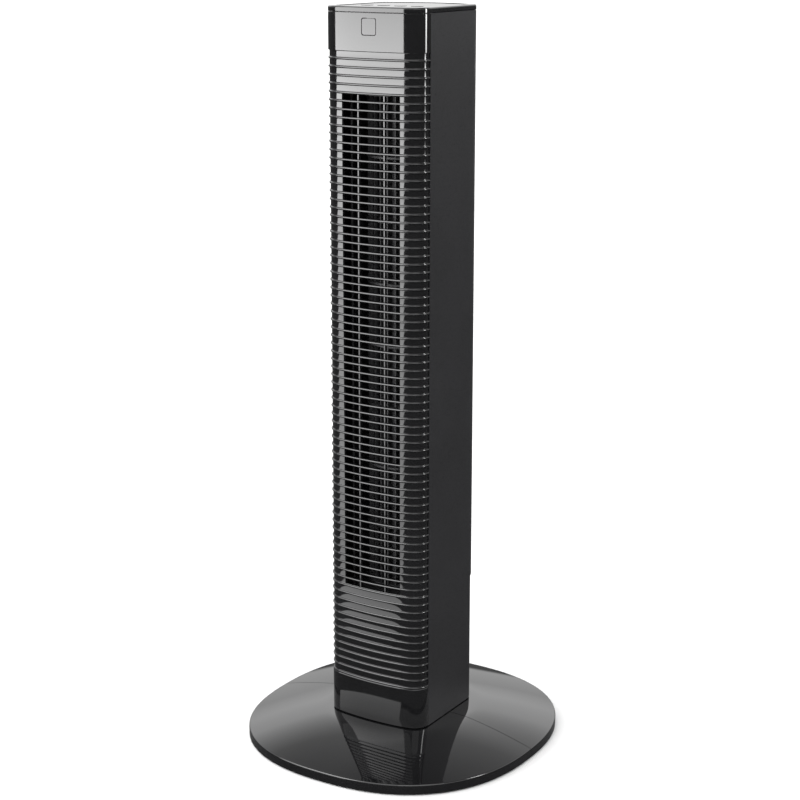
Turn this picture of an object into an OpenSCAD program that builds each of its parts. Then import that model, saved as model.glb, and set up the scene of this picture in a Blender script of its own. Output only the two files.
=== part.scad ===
// Tower fan: a slim tower with a ribbed front grille, standing on a low domed base.
// A motor in the foot of the tower turns a long cross-flow impeller. A small gear motor with an
// eccentric pin in a slotted seat swings the tower from side to side.
// Frame: origin under the middle of the base, on the floor. +Z is up and -Y is the front.

/* [Tower] */
// Height of the top of the fan above the floor
tower_h = 791; // [640:1:960]
// Width of the tower across its side walls
tower_w = 119; // [118:1:155]
// Depth of the tower, front to back
tower_d = 131; // [126:1:155]
// Height of the tower's lower edge above the floor
tower_lift = 30.4; // [29.5:0.1:33]
// Radius of the gently bowed front
front_r = 280; // [220:1:400]
// Radius of the two front corners
corner_r = 18; // [14:1:30]
// Radius of the bowed back
back_r = 110; // [95:1:160]
// Radius of the two back corners
back_corner_r = 10; // [6:1:14]
// Wall of the front panel, behind its ribs
panel_wall = 2.6; // [2:0.1:3.2]
// Wall of the side shells and the back covers
shell_wall = 2.6; // [2:0.1:3.2]
// Height of the cap's visible edge
cap_h = 5.4; // [4:0.1:8]
// Height of the skirt that locates the cap in the casing
skirt_h = 7; // [5:0.5:9]
// Gap that shows as a seam between outer pieces
seam = 0.3; // [0.2:0.05:0.6]
// Height where the back grille meets the lower back cover
back_split_z = 174; // [160:1:190]

/* [Front grille] */
// Distance from one rib to the next
rib_pitch = 8.5; // [7.5:0.1:11]
// Height of a rib
rib_h = 2.3; // [1.6:0.1:3]
// How far a rib stands out from the wall between ribs
rib_proud = 1.3; // [0.8:0.1:2]
// Plain band from the top of the fan down to the first rib
top_band = 51.75; // [44:0.25:70]
// Plain band between the tower's lower edge and the last rib, at least
bottom_band = 45; // [30:1:60]
// Closed rows above the open grille
closed_top_rows = 4; // [2:1:6]
// Closed rows under the open grille
closed_bottom_rows = 12; // [11:1:14]
// Width of the open grille
opening_w = 70; // [56:1:76]
// Distance of the two upright bars from the middle
bar_x = 15.6; // [10:0.1:24]
// Width of an upright bar
bar_w = 2.2; // [1.6:0.1:4]
// Depth of an upright bar
bar_d = 3; // [2:0.1:4]

/* [Display window] */
// Side of the square window
window_w = 16.2; // [12:0.1:20]

/* [Base] */
// Width of the base
base_w = 323; // [250:1:380]
// Depth of the base
base_d = 332; // [250:1:380]
// Height of the rim
base_rim = 11.5; // [8:0.1:14]
// Rise of the dome above the rim, if it had no flat land under the tower
base_crown = 23.5; // [16:0.1:28]
// Gap between the flat land and the tower's lower edge
land_gap = 0.9; // [0.6:0.1:1.2]
// Wall of the base
base_wall = 3; // [2:0.1:4]
// Squareness of the outline: 2 is an ellipse
base_power = 2.35; // [2:0.01:4]
// Height that the feet hold the rim above the floor
foot_gap = 1; // [0.5:0.1:2]
// Radius of a foot
foot_r = 9; // [6:0.5:12]
// Distance of the feet inside the outline
foot_inset = 30; // [20:1:60]
// Thickness of a foot
foot_h = 2.5; // [2:0.1:4]

/* [Swivel] */
// Radius of the seat that is fixed to the base
seat_r = 60; // [59:0.5:61]
// Thickness of the seat
seat_h = 5.5; // [4.5:0.1:6]
// Radius of the pivot
pivot_r = 6; // [5:0.1:6.4]
// Radial running clearance on the pivot and on shafts
running_gap = 0.05; // [0.02:0.01:0.1]
// Distance from the pivot to the crank's axis
crank_offset = 34; // [33:0.5:35]
// Throw of the eccentric pin
crank_throw = 19.6; // [18:0.1:20]
// Radius of the eccentric pin
crank_pin_r = 3; // [2.5:0.1:3.4]
// Clearance beside the pin in its slot
slot_gap = 1.6; // [1.4:0.1:2]

/* [Impeller and fan motor] */
// Radius of the impeller
impeller_r = 42; // [34:0.5:50]
// Distance of the impeller's axis behind the middle
impeller_y = 6; // [4:0.5:8]
// Number of blades around the impeller
blade_count = 28; // [18:1:36]
// Thickness of a blade
blade_t = 1.1; // [0.8:0.1:1.6]
// Depth of a blade from its outer to its inner edge
blade_d = 9; // [7:0.5:11]
// Greatest length of one blade section
section_h = 67; // [50:1:90]
// Radius of the motor's laminated core
core_r = 40; // [34:0.5:48]
// Height of the motor's laminated core
core_h = 32; // [24:1:36]
// Radius of the rotor
rotor_r = 22.4; // [18:0.1:24]
// Air gap between rotor and core
air_gap = 0.6; // [0.4:0.1:1]
// Radius of the motor shaft
shaft_r = 4; // [3:0.1:5]
// Radius of the upper stub shaft
stub_r = 3; // [2.5:0.1:4]

/* [Controls] */
// Radius of a button
button_r = 6.5; // [5:0.1:7.5]
// Distance between buttons
button_pitch = 20; // [17:0.5:22]
// Travel of a button
button_travel = 0.9; // [0.6:0.1:1.2]
// Radial gap around a button
button_gap = 0.25; // [0.2:0.05:0.4]
// Width of the rim around the control panel
cap_rim = 8; // [7:0.5:10]

/* [Hidden] */
$fn = 48;
e = 0.01;

// Heights, from the floor up.
land_z = tower_lift - land_gap;
seat_drop = 3.4;
seat_z = tower_lift - seat_drop - seat_h;
seat_top = seat_z + seat_h;
cover_t = 3;
cover_top = tower_lift + cover_t;
glide_gap = 0.15;
glide_outer = 52;
glide_inner = 43;
pivot_top = cover_top + 11.2;
washer_r = 11;
washer_t = 1.2;
crank_z = cover_top + 1.6;
crank_t = 4;
crank_hub_r = 7;
bracket_z = cover_top + 12.6;
bracket_t = 3;
bracket_size = [68, 44];
bracket_post_r = 3.5;
can_r = 21.5;
can_h = 18;
can_boss_r = 5.5;
ear_x = 27;
ear_t = 1.5;
shell_top = tower_h - cap_h - seam;
first_rib_z = tower_h - top_band;
rib_count = floor((first_rib_z - tower_lift - bottom_band) / rib_pitch) + 1;
last_rib_z = first_rib_z - (rib_count - 1) * rib_pitch;
open_top_z = first_rib_z - closed_top_rows * rib_pitch;
open_bottom_z = last_rib_z + closed_bottom_rows * rib_pitch;
deck_t = 3;
deck_z = open_bottom_z - 8 - deck_t;
deck_top = deck_z + deck_t;
frame_z = open_top_z + 4;
frame_top = frame_z + deck_t;
impeller_z = deck_top + 5;
impeller_top = frame_z - 4.5;
impeller_h = impeller_top - impeller_z;
sections = ceil(impeller_h / section_h);
disc_t = 2;
core_z = deck_z - 31 - core_h;
shield_wall = 2;
shield_h = 20;

// Plan of the tower: centres of the bowed front and back.
front_c = -tower_d / 2 + front_r;
back_c = tower_d / 2 - back_r;
panel_in = rib_proud + panel_wall;
deck_in = panel_in + 0.5;
lower_in = 0.9;
front_in_y = -tower_d / 2 + panel_in;

boss_w = 10;
screw_r = 1.6;
hole_gap = 0.3;
head_r = 3.4;
head_h = 2.2;
head_sink = 1.2;
low_screw_z = cover_top + 10;
mid_screw_z = deck_z - boss_w / 2;
top_screw_z = frame_top + 30;
back_screw_x = 34;
boss_gap = 0.2;
lug_t = 3;
ledge_w = 4;
capacitor_r = 9;
window_t = 2;
window_side = window_w - 0.3;
module_side = window_w - 2;
window_z = tower_h - cap_h - skirt_h - module_side / 2;
board_z = tower_h - 15;
board_t = 1.6;
panel_t = 2.7;
panel_z = tower_h - 0.4 - panel_t;
button_y = -22;
button_xs = [for (i = [0:3]) (i - 1.5) * button_pitch];
bearing_r = 8;
bearing_h = 6;
grommet_radius = 32;
grommet_hole_r = 2.2;
winding_h = 11;
hub_r = 18;
hub_h = 14;
hub_bore_r = 14;
upper_hub_r = 9;
upper_hub_h = 12;
housing_r = 15;
housing_bore_r = 12;
housing_h = 8;
upper_bearing_r = 7;
upper_bearing_h = 7;
inlet_z = tower_lift + 22;
lens_r = 1.15;
lens_y = button_y + 13;
switch_h = 4.4;

// Points along an arc, without its first point when skip is 1.
function arc(c, r, a0, a1, n, skip = 0) =
    [for (i = [skip:n]) c + r * [cos(a0 + (a1 - a0) * i / n), sin(a0 + (a1 - a0) * i / n)]];
function reversed(p) = [for (i = [len(p) - 1:-1:0]) p[i]];

// A corner of radius r between a side wall and a bow of radius big, all d inside the outline:
// its own radius, its centre's distance from the middle and from the bow's centre, its angle.
function inner_r(r, d) = max(r - d, 2);
function corner_x(r, d) = tower_w / 2 - d - inner_r(r, d);
function corner_run(r, big, d) = sqrt(pow(big - d - inner_r(r, d), 2) - pow(corner_x(r, d), 2));
function corner_a(r, big, d) = atan2(corner_x(r, d), corner_run(r, big, d));

// The front of the plan from the left wall round to the right wall, d inside the outline.
function front_path(d) =
    let (x = corner_x(corner_r, d), y = front_c - corner_run(corner_r, front_r, d))
    let (r = inner_r(corner_r, d), a = corner_a(corner_r, front_r, d))
    concat(arc([-x, y], r, 180, 270 - a, 6),
        arc([0, front_c], front_r - d, 270 - a, 270 + a, 8, 1),
        arc([x, y], r, 270 + a, 360, 6, 1));

// The back of the plan from the right wall round to the left wall.
function back_path(d) =
    let (x = corner_x(back_corner_r, d), y = back_c + corner_run(back_corner_r, back_r, d))
    let (r = inner_r(back_corner_r, d), a = corner_a(back_corner_r, back_r, d))
    concat(arc([x, y], r, 0, 90 - a, 4),
        arc([0, back_c], back_r - d, 90 - a, 90 + a, 12, 1),
        arc([-x, y], r, 90 + a, 180, 4, 1));
side_front_y = front_c - corner_run(corner_r, front_r, 0);
side_back_y = back_c + corner_run(back_corner_r, back_r, 0);
function tower_outline(d) = concat(front_path(d), back_path(d));
function back_at(x, d) = back_c + sqrt(pow(back_r - d, 2) - x * x);
function front_at(x, d) = front_c - sqrt(pow(front_r - d, 2) - x * x);

// Rounded square of the base, as a superellipse.
function super_power(v) = sign(v) * pow(abs(v), 2 / base_power);
function base_outline(d, n = 72) = [for (i = [0:n - 1])
    [(base_w / 2 - d) * super_power(cos(360 * i / n)), (base_d / 2 - d) * super_power(sin(360 * i / n))]];

module front_band(outer, inner, z, h)
    translate([0, 0, z]) linear_extrude(h)
        polygon(concat(front_path(outer), reversed(front_path(inner))));

module back_band(outer, inner, z, h)
    translate([0, 0, z]) linear_extrude(h)
        polygon(concat(back_path(outer), reversed(back_path(inner))));

module at_impeller(z) translate([0, impeller_y, z]) children();

module ring(outer, inner, h) {
    difference() {
        cylinder(r = outer, h = h);
        translate([0, 0, -1]) cylinder(r = inner, h = h + 2);
    }
}

// A screw along -Z from its head's underside at the origin.
module screw(r, length, head, head_height) {
    translate([0, 0, -length]) cylinder(r = r, h = length + e);
    difference() {
        cylinder(r = head, h = head_height);
        for (a = [0, 90]) rotate([0, 0, a])
            translate([-head * 0.6, -0.4, head_height * 0.45]) cube([head * 1.2, 0.8, head_height]);
    }
}

// Places on the back wall, facing backwards, where d is the depth below the outline.
module on_back(x, z, d) translate([x, back_at(x, d), z]) rotate([-90, 0, 0]) children();

// Pair of blocks just inside a back wall whose inner side is d below the outline.
module back_bosses(d, z, h) for (x = [-back_screw_x, back_screw_x])
    translate([x - boss_w / 2, back_at(back_screw_x + boss_w / 2, d) - boss_gap - boss_w, z])
        cube([boss_w, boss_w, h]);

module back_pilots(z) for (x = [-back_screw_x, back_screw_x])
    on_back(x, z, 24) cylinder(r = screw_r, h = 24);

// ---------------------------------------------------------------- base

// Solid dome with its flat land, d inside the outer surface.
module dome_solid(d) {
    dome_r = (pow(base_w / 2, 2) + pow(base_crown, 2)) / (2 * base_crown);
    intersection() {
        linear_extrude(land_z - d) polygon(base_outline(d));
        translate([0, 0, base_rim + base_crown - dome_r]) sphere(r = dome_r - d, $fn = 240);
    }
}

foot_places = [for (a = [45:90:315])
    [(base_w / 2 - foot_inset) * super_power(cos(a)), (base_d / 2 - foot_inset) * super_power(sin(a))]];
seat_screw_places = [for (a = [45:90:315]) 30 * [cos(a), sin(a)]];

module base_half(side) {
    half_y = base_d / 2 + 1;
    cup_wall = 3;
    intersection() {
        difference() {
            union() {
                difference() {
                    dome_solid(0);
                    translate([0, 0, -e]) dome_solid(base_wall);
                }
                translate([0, 0, seat_z - base_wall])
                    cylinder(r = seat_r + cup_wall, h = land_z - seat_z + base_wall);
                intersection() {
                    dome_solid(base_wall / 2);
                    for (p = foot_places)
                        translate([p[0], p[1], foot_h]) cylinder(r = foot_r + 1, h = land_z);
                }
            }
            translate([0, 0, seat_z]) cylinder(r = seat_r + 0.5, h = land_z);
            for (p = seat_screw_places)
                translate([p[0], p[1], 0]) cylinder(r = screw_r + hole_gap, h = land_z);
            translate([0, 0, -1]) linear_extrude(foot_gap + 1)
                square([base_w + 9, base_d + 9], center = true);
        }
        translate([-base_w, side < 0 ? -half_y : seam / 2, 0])
            cube([2 * base_w, half_y - seam / 2, land_z + 1]);
    }
}

module base_front() color("#17181a") base_half(-1);
module base_rear() color("#1c1d1f") base_half(1);

module rubber_feet() color("#303030")
    for (p = foot_places) translate([p[0], p[1], 0]) cylinder(r = foot_r, h = foot_h);

// Fixed seat with the pivot, and the slot that the eccentric pin works in.
module swivel_seat() color("#3a3b3d") {
    slot_r = crank_pin_r + slot_gap;
    slot_near = crank_offset - crank_throw;
    slot_far = crank_offset + crank_throw;
    difference() {
        union() {
            translate([0, 0, seat_z]) cylinder(r = seat_r, h = seat_h);
            translate([0, 0, seat_top - e])
                cylinder(r = pivot_r + 3, h = tower_lift - glide_gap - seat_top + e);
            translate([0, 0, seat_top]) cylinder(r = pivot_r, h = pivot_top - seat_top);
        }
        translate([-slot_r, -slot_far - 1, seat_z - 1])
            cube([2 * slot_r, slot_far - slot_near + 1, seat_h + 2]);
        translate([0, -slot_far - 1, seat_z - 1]) cylinder(r = slot_r, h = seat_h + 2);
        translate([0, 0, seat_top + 2]) cylinder(r = screw_r + 0.4, h = tower_h / 2);
        for (p = seat_screw_places) translate([p[0], p[1], seat_z - 1]) cylinder(r = screw_r, h = seat_h);
    }
}

module seat_screws() color("#9a9a9a")
    for (p = seat_screw_places) translate([p[0], p[1], seat_z - base_wall]) rotate([180, 0, 0])
        screw(screw_r, base_wall + seat_h - 1.5, head_r, head_h);

// Low-friction ring that the tower slides on, open where the pin passes.
module glide_ring() color("#e6e4dc") difference() {
    translate([0, 0, seat_top]) ring(glide_outer, glide_inner, tower_lift - glide_gap - seat_top);
    translate([-8, -60, seat_top - 1]) cube([16, 30, 6]);
}

module pivot_washer() color("#b0b2b5")
    translate([0, 0, pivot_top]) ring(washer_r, screw_r + 0.5, washer_t);

module pivot_screw() color("#9a9a9a")
    translate([0, 0, pivot_top + washer_t]) screw(screw_r + 0.35, 12, 4, 2.4);

// ---------------------------------------------------------------- foot of the tower

bracket_places = [for (x = [-29, 29], y = [-16, 16]) [x, y - crank_offset]];

module bottom_cover() color("#202123") difference() {
    union() {
        translate([0, 0, tower_lift]) linear_extrude(cover_t) polygon(tower_outline(deck_in));
        translate([0, 0, tower_lift]) cylinder(r = pivot_r + 2.5, h = pivot_top - tower_lift - 0.2);
        back_bosses(lower_in + shell_wall, cover_top - e, low_screw_z - cover_top + boss_w / 2);
        for (a = [60:60:300]) rotate([0, 0, a - 90]) translate([-1, pivot_r + 2, cover_top - e])
            cube([2, 20, 5]);
    }
    translate([0, 0, tower_lift - 1]) cylinder(r = pivot_r + running_gap, h = pivot_top);
    translate([0, -crank_offset, tower_lift - 1])
        cylinder(r = crank_throw + crank_pin_r + 1, h = cover_t + 8);
    back_pilots(low_screw_z);
    panel_pilots(cover_top);
}

// Eccentric crank on the gear motor's shaft.
module crank() color("#d8d6cc") difference() {
    translate([0, -crank_offset, 0]) union() {
        translate([0, 0, crank_z]) cylinder(r = crank_throw + crank_pin_r + 0.4, h = crank_t);
        translate([0, 0, crank_z + crank_t - e]) cylinder(r = crank_hub_r, h = 5);
        translate([0, -crank_throw, seat_z + 1.5]) cylinder(r = crank_pin_r, h = crank_z - seat_z - 1.5 + e);
    }
    translate([0, -crank_offset, crank_z + 2]) cylinder(r = stub_r + running_gap, h = 20);
}

module oscillation_bracket() color("#6d7073") difference() {
    union() {
        translate([-bracket_size[0] / 2, -bracket_size[1] / 2 - crank_offset, bracket_z])
            cube([bracket_size[0], bracket_size[1], bracket_t]);
        for (p = bracket_places) translate([p[0], p[1], cover_top])
            cylinder(r = bracket_post_r, h = bracket_z - cover_top + e);
    }
    translate([0, -crank_offset, bracket_z - 1]) cylinder(r = 6, h = bracket_t + 2);
    for (x = [-ear_x, ear_x])
        translate([x, -crank_offset, bracket_z - 1]) cylinder(r = screw_r, h = bracket_t + 2);
    for (p = bracket_places) translate([p[0], p[1], cover_top - 1]) cylinder(r = 1.3, h = 30);
}

// Small geared motor: can, mounting ears, shaft boss and shaft.
module oscillation_motor() color("#b9bcc0")
    translate([0, -crank_offset, bracket_z + bracket_t]) difference() {
        union() {
            cylinder(r = can_r, h = can_h);
            translate([-ear_x - 4, -5, 0]) cube([2 * ear_x + 8, 10, ear_t]);
            translate([0, 0, -bracket_t]) cylinder(r = can_boss_r, h = bracket_t + 1);
            translate([0, 0, crank_z + 3 - bracket_z - bracket_t])
                cylinder(r = stub_r, h = bracket_z + bracket_t - crank_z);
        }
        for (x = [-ear_x, ear_x]) translate([x, 0, -1]) cylinder(r = screw_r + 0.2, h = 4);
    }

module oscillation_screws() color("#9a9a9a")
    for (x = [-ear_x, ear_x]) translate([x, -crank_offset, bracket_z + bracket_t + ear_t])
        screw(screw_r, 6, head_r, head_h);

// ---------------------------------------------------------------- tower casing

// Screws down through the panel's lugs into the cover, the deck and the upper frame.
lug_x = tower_w / 2 - 13;
lug_w = 10;
lug_y = -tower_d / 2 + 20;
lug_zs = [cover_top, deck_top, frame_top];

module panel_pilots(z) for (x = [-lug_x, lug_x])
    translate([x, lug_y, z - 8]) cylinder(r = screw_r, h = 9);

module panel_lugs() for (x = [-lug_x, lug_x], z = lug_zs) intersection() {
    translate([0, 0, z]) linear_extrude(lug_t) polygon(tower_outline(panel_in - 0.5));
    difference() {
        translate([x - lug_w / 2, -tower_d / 2, z - 1]) cube([lug_w, 25, lug_t + 2]);
        translate([x, lug_y, z - 2]) cylinder(r = screw_r + 0.2, h = lug_t + 4);
    }
}

module panel_screws() color("#9a9a9a") for (x = [-lug_x, lug_x], z = lug_zs)
    translate([x, lug_y, z + lug_t]) screw(screw_r, lug_t + 2.6, head_r, head_h);

// Gloss front: plain bands above and below, ribs between, and the open grille in the middle.
module front_panel() color("#141416") {
    recess_top = first_rib_z + rib_pitch - rib_h / 2;
    recess_bottom = last_rib_z;
    bar_y = front_at(bar_x, panel_in) - 0.4;
    difference() {
        front_band(0, panel_in, tower_lift, shell_top - tower_lift);
        front_band(-1, rib_proud, recess_bottom, recess_top - recess_bottom);
        translate([-opening_w / 2, -tower_d, open_bottom_z])
            cube([opening_w, tower_d, open_top_z - open_bottom_z]);
        translate([-window_w / 2, -tower_d, window_z - window_w / 2])
            cube([window_w, tower_d, window_w]);
    }
    for (i = [0:rib_count - 1])
        front_band(0, panel_in - 0.2, first_rib_z - i * rib_pitch - rib_h / 2, rib_h);
    panel_lugs();
    for (x = [-bar_x, bar_x])
        translate([x - bar_w / 2, bar_y, open_bottom_z - 2])
            cube([bar_w, bar_d, open_top_z - open_bottom_z + 4]);
}

// Satin side wall with the ledges that carry the motor deck and the upper frame.
module side_shell(side) {
    inner = tower_w / 2 - shell_wall;
    depth = side_back_y - side_front_y - seam;
    ledge_h = 4;
    translate([side > 0 ? inner : -tower_w / 2, side_front_y + seam / 2, tower_lift])
        cube([shell_wall, depth, shell_top - tower_lift]);
    for (z = [deck_z, frame_z])
        translate([side > 0 ? inner - ledge_w : -inner - e, side_front_y + 8, z - ledge_h])
            cube([ledge_w + e, depth - 16, ledge_h]);
}

module left_side_shell() color("#333335") side_shell(-1);
module right_side_shell() color("#333335") side_shell(1);

// Places of the screws in the back, as [x, height].
lower_screw_places = [for (x = [-1, 1], z = [low_screw_z, mid_screw_z]) [x * back_screw_x, z]];
upper_screw_places = [for (x = [-1, 1]) [x * back_screw_x, top_screw_z]];

module rear_grille() color("#2b2b2d") {
    slot_w = 4;
    slot_pitch = 7;
    slots = 2 * floor((tower_w / 2 - 20) / slot_pitch) + 1;
    slots_bottom = open_bottom_z + 6;
    slots_top = open_top_z - 6;
    rows = ceil((slots_top - slots_bottom) / section_h);
    row_h = (slots_top - slots_bottom) / rows;
    difference() {
        back_band(0, shell_wall, back_split_z + seam, shell_top - back_split_z - seam);
        for (i = [0:slots - 1])
            translate([(i - (slots - 1) / 2) * slot_pitch - slot_w / 2, 20, slots_bottom])
                cube([slot_w, tower_d, slots_top - slots_bottom]);
        for (p = upper_screw_places) on_back(p[0], p[1], 6) cylinder(r = screw_r + hole_gap, h = 12);
        for (p = upper_screw_places) on_back(p[0], p[1], head_sink) cylinder(r = head_r + 0.4, h = 12);
    }
    for (i = [1:rows - 1]) intersection() {
        back_band(shell_wall - 1.2, shell_wall + 1, slots_bottom + i * row_h - 1.25, 2.5);
        translate([-tower_w / 2 + 12, 0, 0]) cube([tower_w - 24, tower_d, tower_h]);
    }
}

module rear_lower_cover() color("#1b1c1e") difference() {
    vent = [3, 24];
    vent_pitch = 6;
    back_band(lower_in, lower_in + shell_wall, tower_lift, back_split_z - tower_lift);
    for (i = [-4:4], z = [tower_lift + 58, tower_lift + 92]) if (abs(i) > 0)
        translate([i * vent_pitch - vent[0] / 2, 20, z]) cube([vent[0], tower_d, vent[1]]);
    for (p = lower_screw_places) on_back(p[0], p[1], 8) cylinder(r = screw_r + hole_gap, h = 12);
    for (p = lower_screw_places)
        on_back(p[0], p[1], lower_in + head_sink) cylinder(r = head_r + 0.4, h = 12);
    on_back(0, inlet_z, 12) cylinder(r = 6, h = 16);
}

module rear_screws() color("#9a9a9a") {
    for (p = lower_screw_places)
        on_back(p[0], p[1], lower_in + head_sink) screw(screw_r, 10, head_r, head_sink);
    for (p = upper_screw_places) on_back(p[0], p[1], head_sink) screw(screw_r, 10, head_r, head_sink);
}

// Bush for the mains cord, low in the back.
module cord_inlet() color("#101010") on_back(0, inlet_z, lower_in + shell_wall) difference() {
    union() {
        translate([0, 0, -2]) cylinder(r = 8, h = 1.5);
        translate([0, 0, -1]) cylinder(r = 6, h = shell_wall + 1 + e);
        translate([0, 0, shell_wall]) cylinder(r = 7.6, h = 1.4);
    }
    translate([0, 0, -5]) cylinder(r = 3.6, h = 14);
}

// ---------------------------------------------------------------- fan motor and its deck

grommet_places = [for (a = [45:90:315]) grommet_radius * [cos(a), sin(a)]];

module motor_deck() color("#45474a") difference() {
    union() {
        translate([0, 0, deck_z]) linear_extrude(deck_t) polygon(tower_outline(deck_in));
        back_bosses(lower_in + shell_wall, deck_z - boss_w, boss_w + e);
    }
    at_impeller(deck_z - 1) cylinder(r = 12, h = deck_t + 2);
    at_impeller(deck_z - 1) for (p = grommet_places)
        translate([p[0], p[1], 0]) cylinder(r = grommet_hole_r, h = deck_t + 2);
    back_pilots(mid_screw_z);
    panel_pilots(deck_top);
}

// Cup of the motor casing, open downwards, with the bearing's seat.
module shield() difference() {
    union() {
        cylinder(r = core_r + shield_wall, h = shield_h);
        translate([0, 0, shield_h - e]) cylinder(r = bearing_r + 3, h = 5);
    }
    translate([0, 0, -1]) cylinder(r = core_r - 1.5, h = shield_h - shield_wall + 1);
    translate([0, 0, shield_h - shield_wall - 1]) cylinder(r = bearing_r, h = 8);
}

module motor_upper_shield() color("#a9acb0") at_impeller(core_z + core_h) difference() {
    shield();
    for (p = grommet_places) translate([p[0], p[1], shield_h - 4]) cylinder(r = screw_r, h = 6);
}

module motor_lower_shield() color("#a9acb0") at_impeller(core_z) mirror([0, 0, 1]) shield();

module motor_core() color("#7f8286") at_impeller(core_z) ring(core_r, rotor_r + air_gap, core_h);

module motor_windings() color("#a8602c") {
    for (z = [core_z - winding_h, core_z + core_h])
        at_impeller(z) ring(core_r - 4, rotor_r + air_gap + 2, winding_h);
}

module motor_bearings() color("#b08d4a") {
    for (z = [core_z - shield_h + 1 - bearing_h, core_z + core_h + shield_h - 1])
        at_impeller(z) ring(bearing_r, shaft_r + running_gap, bearing_h);
}

module rotor() color("#8b8e92") at_impeller(core_z - 2) ring(rotor_r, shaft_r, core_h + 4);

module motor_shaft() color("#c9ccd0")
    at_impeller(core_z - shield_h - bearing_h)
        cylinder(r = shaft_r, h = impeller_z + hub_h - core_z + shield_h + bearing_h);

module motor_grommets() color("#2a2a2a") at_impeller(core_z + core_h + shield_h)
    for (p = grommet_places) translate([p[0], p[1], 0]) ring(5, 2, deck_z - core_z - core_h - shield_h);

module motor_screws() color("#9a9a9a") at_impeller(deck_top)
    for (p = grommet_places) translate([p[0], p[1], 0])
        screw(screw_r, deck_top - core_z - core_h - shield_h + 2.5, head_r, head_h);

module capacitor() color("#dcdcd8") at_impeller(deck_z - 34) rotate([0, 0, 224])
    translate([core_r + shield_wall + capacitor_r + 1, 0, 0]) cylinder(r = capacitor_r, h = 34);

// ---------------------------------------------------------------- impeller and air duct

// One curved blade, seen from above, at angle zero.
function blade_side(t) = arc([impeller_r - 2, -blade_d * 0.62], blade_d * 0.75 + t, 88, 168, 4);

module blade_outline() intersection() {
    polygon(concat(blade_side(0), reversed(blade_side(blade_t))));
    circle(r = impeller_r - 0.4);
}

module impeller() color("#3c3d40") at_impeller(impeller_z) difference() {
    union() {
        for (i = [0:sections])
            translate([0, 0, i * (impeller_h - disc_t) / sections]) cylinder(r = impeller_r, h = disc_t);
        for (i = [0:blade_count - 1]) rotate([0, 0, i * 360 / blade_count])
            linear_extrude(impeller_h - 0.5) blade_outline();
        cylinder(r = hub_r, h = hub_h);
        translate([0, 0, impeller_h - upper_hub_h]) cylinder(r = upper_hub_r, h = upper_hub_h);
    }
    translate([0, 0, -1]) cylinder(r = hub_bore_r, h = hub_h + 1);
    translate([0, 0, impeller_h - 10]) cylinder(r = stub_r, h = 11);
}

// Rubber hub between the motor shaft and the impeller.
module impeller_coupling() color("#262626") at_impeller(impeller_z)
    ring(hub_bore_r, shaft_r, hub_h - 0.2);

module stub_shaft() color("#c9ccd0") at_impeller(impeller_top - 10)
    cylinder(r = stub_r, h = frame_top + housing_h - impeller_top + 10);

module upper_frame() color("#45474a") difference() {
    union() {
        translate([0, 0, frame_z]) linear_extrude(deck_t) polygon(tower_outline(deck_in));
        at_impeller(frame_top - e) ring(housing_r, housing_bore_r, housing_h);
        back_bosses(shell_wall, frame_top - e, top_screw_z - frame_top + boss_w / 2);
    }
    at_impeller(frame_z - 1) cylinder(r = 8, h = deck_t + 2);
    back_pilots(top_screw_z);
    panel_pilots(frame_top);
}

module upper_bearing() color("#b08d4a") at_impeller(frame_top)
    ring(upper_bearing_r, stub_r + running_gap, upper_bearing_h);

module bearing_rubber() color("#262626") at_impeller(frame_top)
    ring(housing_bore_r, upper_bearing_r, upper_bearing_h);

module bearing_cap() color("#6d7073") at_impeller(frame_top + housing_h) difference() {
    cylinder(r = housing_r, h = 2);
    translate([0, 0, -1]) cylinder(r = stub_r + 1, h = 4);
}

// Scroll wall: a spiral from the intake at the back round the left side to the grille.
duct_h = frame_z - deck_top;
scroll_start = 128;
scroll_end = 232;
scroll_near = impeller_r + 4;
scroll_far = 61;
scroll_growth = 1.15;
duct_wall = 2;
function scroll_part(a) = (a - scroll_start) / (scroll_end - scroll_start);
function scroll(a) = scroll_near + (scroll_far - scroll_near) * pow(scroll_part(a), scroll_growth);
function scroll_limit(p, d) =
    [max(p[0], -tower_w / 2 + shell_wall + ledge_w + 0.4 + d), max(p[1], front_in_y + 6 + d)];
function scroll_side(d) =
    [for (i = [0:16]) let (a = scroll_start + (scroll_end - scroll_start) * i / 16)
        scroll_limit((scroll(a) - d) * [cos(a), sin(a)] + [0, impeller_y], d)];

module air_duct() color("#1d1e20") translate([0, 0, deck_top]) linear_extrude(duct_h)
    polygon(concat(scroll_side(0), reversed(scroll_side(duct_wall))));

// Tongue: keeps the returning air out of the outlet on the right side.
module duct_tongue() color("#1d1e20") translate([0, 0, deck_top]) linear_extrude(duct_h) {
    lip = arc([0, impeller_y], impeller_r + 3, -40, 12, 8);
    back_lip = arc([0, impeller_y], impeller_r + 3 + duct_wall, 12, -38, 8);
    tip_x = min(opening_w / 2 + 4, lug_x - lug_w / 2 - boss_gap);
    polygon(concat(lip, back_lip, [[tip_x, front_in_y + 8], [tip_x - duct_wall, front_in_y + 8]]));
}

// ---------------------------------------------------------------- top and controls

// A ring of the tower's plan between two insets.
module plan_ring(outer, inner, z, h) translate([0, 0, z]) difference() {
    linear_extrude(h) polygon(tower_outline(outer));
    translate([0, 0, -1]) linear_extrude(h + 2) polygon(tower_outline(inner));
}

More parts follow.
